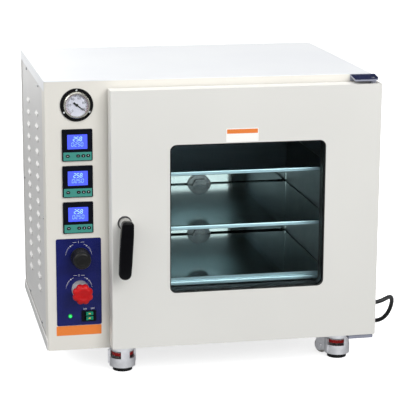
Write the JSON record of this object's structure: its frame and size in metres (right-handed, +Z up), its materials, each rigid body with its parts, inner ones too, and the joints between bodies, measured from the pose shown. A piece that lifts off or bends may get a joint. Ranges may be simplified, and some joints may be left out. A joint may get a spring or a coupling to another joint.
{
  "type": "vacuum oven",
  "caption": "Bench vacuum oven with a hinged window door, heated shelves in a sealed steel chamber, a control column with gauge and valves, and levelling casters.",
  "frame": {"origin": "centre of the oven's bounding box on the floor, cord left out", "axes": "+Z up, front and door towards -Y, +X to the right as seen from the front"},
  "size_m": [0.8584, 0.641, 0.661],
  "materials": {
    "cabinet_paint": "smooth semi-gloss powder coat, warm white",
    "cover_paint": "smooth semi-gloss powder coat, white",
    "door_paint": "smooth semi-gloss powder coat, light grey-white",
    "side_paint": "smooth semi-gloss powder coat, light grey",
    "screw_steel": "zinc-plated screws",
    "chamber_steel": "polished stainless sheet",
    "gasket_silicone": "moulded silicone",
    "port_steel": "turned steel",
    "mineral_wool": "matted mineral wool",
    "clear_glass": "clear pressed glass",
    "hinge_enamel": "gloss dark-blue enamel",
    "bright_steel": "bright turned steel",
    "gauge_black": "gloss black casing",
    "dial_white": "matt white dial",
    "pointer_black": "matt black",
    "plate_blue": "printed dark-blue plate",
    "case_black": "moulded dark grey-black case",
    "screen_blue": "backlit blue display",
    "keypad_teal": "teal film keypad",
    "lamp_green": "lit green lens",
    "rocker_green": "translucent green rocker",
    "knob_black": "moulded black knob",
    "knob_red": "moulded red knob",
    "valve_steel": "machined stainless steel",
    "caster_alloy": "die-cast alloy, satin",
    "wheel_nylon": "moulded nylon",
    "foot_rubber": "rubber pad on a threaded stem with a red thumbwheel",
    "cord_pvc": "black flexible cord jacket",
    "tinted_glass": "tempered glass, faint grey-green tint",
    "grip_black": "moulded black grip",
    "shelf_alloy": "polished alloy shelf"
  },
  "bodies": {
    "cabinet": {"front_panel": "cabinet_paint", "top_cover": "cover_paint", "left_side_panel": "side_paint", "right_side_panel": "side_paint", "rear_panel": "side_paint", "base_pan": "side_paint", "cabinet_screws": "screw_steel", "vacuum_chamber": "chamber_steel", "door_gasket": "gasket_silicone", "shelf_rails": "chamber_steel", "shelf_ports": "port_steel", "insulation": "mineral_wool", "chamber_lamp": "clear_glass", "hinge_brackets": "hinge_enamel", "hinge_pins": "bright_steel", "latch_striker": "screw_steel", "gauge_case": "gauge_black", "gauge_dial": "dial_white", "gauge_lens": "clear_glass", "control_plate": "plate_blue", "controller_cases": "case_black", "controller_screens": "screen_blue", "controller_keys": "keypad_teal", "pilot_lamp": "lamp_green", "switch_frame": "case_black", "vacuum_valve": "valve_steel", "vent_valve": "valve_steel", "vacuum_pipes": "valve_steel", "rear_port": "valve_steel", "caster_plates": "caster_alloy", "strain_relief": "cord_pvc", "power_cord": "cord_pvc", "cord_coil": "cord_pvc", "power_plug": "cord_pvc"},
    "door": {"door_shell": "door_paint", "door_liner": "door_paint", "window_glass": "tinted_glass", "handle_bush": "valve_steel"},
    "handle": {"door_handle": "grip_black", "latch_spindle": "valve_steel"},
    "pointer": {"gauge_pointer": "pointer_black"},
    "power_switch": {"power_rocker": "rocker_green"},
    "light_switch": {"light_rocker": "rocker_green"},
    "vacuum_tap": {"vacuum_knob": "knob_black"},
    "vent_tap": {"vent_knob": "knob_red"},
    "upper_shelf": {"shelf_upper": "shelf_alloy"},
    "middle_shelf": {"shelf_middle": "shelf_alloy"},
    "lower_shelf": {"shelf_lower": "shelf_alloy"},
    "caster_fl": {"caster_yoke_fl": "caster_alloy"},
    "wheel_fl": {"caster_wheel_fl": "wheel_nylon"},
    "foot_fl": {"levelling_foot_fl": "foot_rubber"},
    "caster_fr": {"caster_yoke_fr": "caster_alloy"},
    "wheel_fr": {"caster_wheel_fr": "wheel_nylon"},
    "foot_fr": {"levelling_foot_fr": "foot_rubber"},
    "caster_rl": {"caster_yoke_rl": "caster_alloy"},
    "wheel_rl": {"caster_wheel_rl": "wheel_nylon"},
    "foot_rl": {"levelling_foot_rl": "foot_rubber"},
    "caster_rr": {"caster_yoke_rr": "caster_alloy"},
    "wheel_rr": {"caster_wheel_rr": "wheel_nylon"},
    "foot_rr": {"levelling_foot_rr": "foot_rubber"}
  },
  "joints": [
    {"name": "door_hinge", "type": "hinge", "parent": "cabinet", "child": "door", "pos_m": [0.35125, -0.2515, 0.365], "axis": [0, 0, 1], "range_deg": [0, 120]},
    {"name": "handle_turn", "type": "hinge", "parent": "door", "child": "handle", "pos_m": [-0.20125, -0.2845, 0.358], "axis": [0, -1, 0], "range_deg": [0, 90]},
    {"name": "gauge_pointer_turn", "type": "hinge", "parent": "cabinet", "child": "pointer", "pos_m": [-0.29575, -0.2295, 0.6095], "axis": [0, -1, 0], "range_deg": [0, 270]},
    {"name": "power_rocker_tilt", "type": "hinge", "parent": "cabinet", "child": "power_switch", "pos_m": [-0.275, -0.2185, 0.14725], "axis": [0, 0, 1], "range_deg": [-16, 0]},
    {"name": "light_rocker_tilt", "type": "hinge", "parent": "cabinet", "child": "light_switch", "pos_m": [-0.275, -0.2185, 0.13675], "axis": [0, 0, 1], "range_deg": [-16, 0]},
    {"name": "vacuum_knob_turn", "type": "hinge", "parent": "cabinet", "child": "vacuum_tap", "pos_m": [-0.29325, -0.2445, 0.278], "axis": [0, -1, 0], "range_deg": [0, 90]},
    {"name": "vent_knob_turn", "type": "hinge", "parent": "cabinet", "child": "vent_tap", "pos_m": [-0.29325, -0.2645, 0.2035], "axis": [0, -1, 0], "range_deg": [0, 540]},
    {"name": "upper_shelf_slide", "type": "slide", "parent": "cabinet", "child": "upper_shelf", "axis": [0, -1, 0], "range_m": [0, 0.025]},
    {"name": "middle_shelf_slide", "type": "slide", "parent": "cabinet", "child": "middle_shelf", "axis": [0, -1, 0], "range_m": [0, 0.025]},
    {"name": "lower_shelf_slide", "type": "slide", "parent": "cabinet", "child": "lower_shelf", "axis": [0, -1, 0], "range_m": [0, 0.025]},
    {"name": "caster_fl_swivel", "type": "hinge", "parent": "cabinet", "child": "caster_fl", "pos_m": [-0.19475, -0.1825, 0.055], "axis": [0, 0, 1], "continuous": true},
    {"name": "caster_fl_roll", "type": "hinge", "parent": "caster_fl", "child": "wheel_fl", "pos_m": [-0.19815, -0.14365, 0.0185], "axis": [-0.9962, -0.0872, 0], "continuous": true},
    {"name": "foot_fl_lift", "type": "slide", "parent": "caster_fl", "child": "foot_fl", "axis": [0, 0, 1], "range_m": [0, 0.006]},
    {"name": "caster_fr_swivel", "type": "hinge", "parent": "cabinet", "child": "caster_fr", "pos_m": [0.30425, -0.1825, 0.055], "axis": [0, 0, 1], "continuous": true},
    {"name": "caster_fr_roll", "type": "hinge", "parent": "caster_fr", "child": "wheel_fr", "pos_m": [0.28024, -0.15177, 0.0185], "axis": [-0.788, -0.6157, 0], "continuous": true},
    {"name": "foot_fr_lift", "type": "slide", "parent": "caster_fr", "child": "foot_fr", "axis": [0, 0, 1], "range_m": [0, 0.006]},
    {"name": "caster_rl_swivel", "type": "hinge", "parent": "cabinet", "child": "caster_rl", "pos_m": [-0.19475, 0.2515, 0.055], "axis": [0, 0, 1], "continuous": true},
    {"name": "caster_rl_roll", "type": "hinge", "parent": "caster_rl", "child": "wheel_rl", "pos_m": [-0.19815, 0.21265, 0.0185], "axis": [0.9962, -0.0872, 0], "continuous": true},
    {"name": "foot_rl_lift", "type": "slide", "parent": "caster_rl", "child": "foot_rl", "axis": [0, 0, 1], "range_m": [0, 0.006]},
    {"name": "caster_rr_swivel", "type": "hinge", "parent": "cabinet", "child": "caster_rr", "pos_m": [0.30425, 0.2515, 0.055], "axis": [0, 0, 1], "continuous": true},
    {"name": "caster_rr_roll", "type": "hinge", "parent": "caster_rr", "child": "wheel_rr", "pos_m": [0.31102, 0.28991, 0.0185], "axis": [-0.9848, 0.1736, 0], "continuous": true},
    {"name": "foot_rr_lift", "type": "slide", "parent": "caster_rr", "child": "foot_rr", "axis": [0, 0, 1], "range_m": [0, 0.006]}
  ]
}
